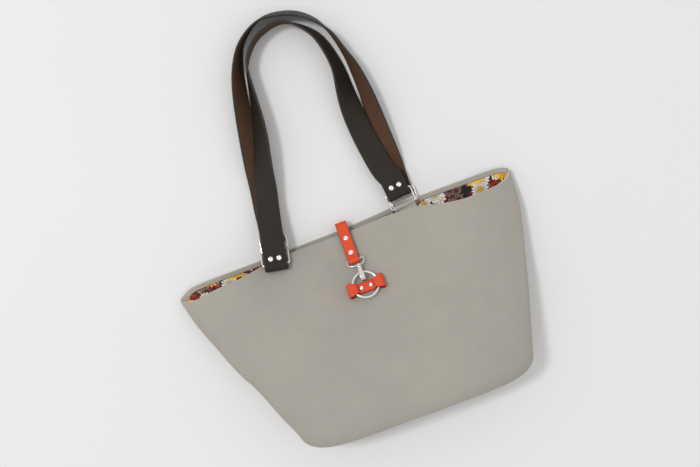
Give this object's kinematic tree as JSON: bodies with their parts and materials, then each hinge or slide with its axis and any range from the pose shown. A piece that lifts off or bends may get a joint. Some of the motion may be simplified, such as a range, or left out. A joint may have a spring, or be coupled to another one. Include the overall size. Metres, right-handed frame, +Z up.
{
  "type": "leather shoulder bag",
  "caption": "Soft leather shoulder bag lying on its back, with two long flat handles and a strap-and-snap-hook clasp.",
  "frame": {"origin": "middle of the whole bag's box, on the surface that it lies on", "axes": "+X is the bag's right, +Y runs from the base to the mouth and the handles, +Z is up from the surface"},
  "size_m": [0.4566, 0.5464, 0.0846],
  "materials": {
    "grey_leather": "grained matt",
    "facing_leather": "matt",
    "lining_cloth": "printed cotton",
    "brown_leather": "smooth satin",
    "orange_leather": "smooth satin",
    "nickel": "polished nickel"
  },
  "bodies": {
    "bag": {"back_handle": "brown_leather", "body_shell": "grey_leather", "clasp_ring": "nickel", "closure_d_ring": "nickel", "closure_rivet_1": "nickel", "closure_rivet_2": "nickel", "closure_strap": "orange_leather", "front_handle": "brown_leather", "handle_ring_back_left": "nickel", "handle_ring_back_right": "nickel", "handle_ring_front_left": "nickel", "handle_ring_front_right": "nickel", "handle_rivet_back_left_1": "nickel", "handle_rivet_back_left_2": "nickel", "handle_rivet_back_right_1": "nickel", "handle_rivet_back_right_2": "nickel", "handle_rivet_front_left_1": "nickel", "handle_rivet_front_left_2": "nickel", "handle_rivet_front_right_1": "nickel", "handle_rivet_front_right_2": "nickel", "handle_tab_back_left": "grey_leather", "handle_tab_back_right": "grey_leather", "handle_tab_front_left": "grey_leather", "handle_tab_front_right": "grey_leather", "holder_rivet_1": "nickel", "holder_rivet_2": "nickel", "lining": "lining_cloth", "rim_facing": "facing_leather", "ring_holder": "orange_leather", "snap_hook": "nickel", "snap_swivel": "nickel"},
    "gate": {"snap_gate": "nickel"}
  },
  "joints": [
    {"name": "gate_hinge", "type": "hinge", "parent": "bag", "child": "gate", "pos_m": [0.0037, -0.08097, 0.03864], "axis": [-1, 0, 0], "range_deg": [0, 25], "stiffness_Nm_per_rad": 0.002, "springref_deg": -5.73}
  ]
}
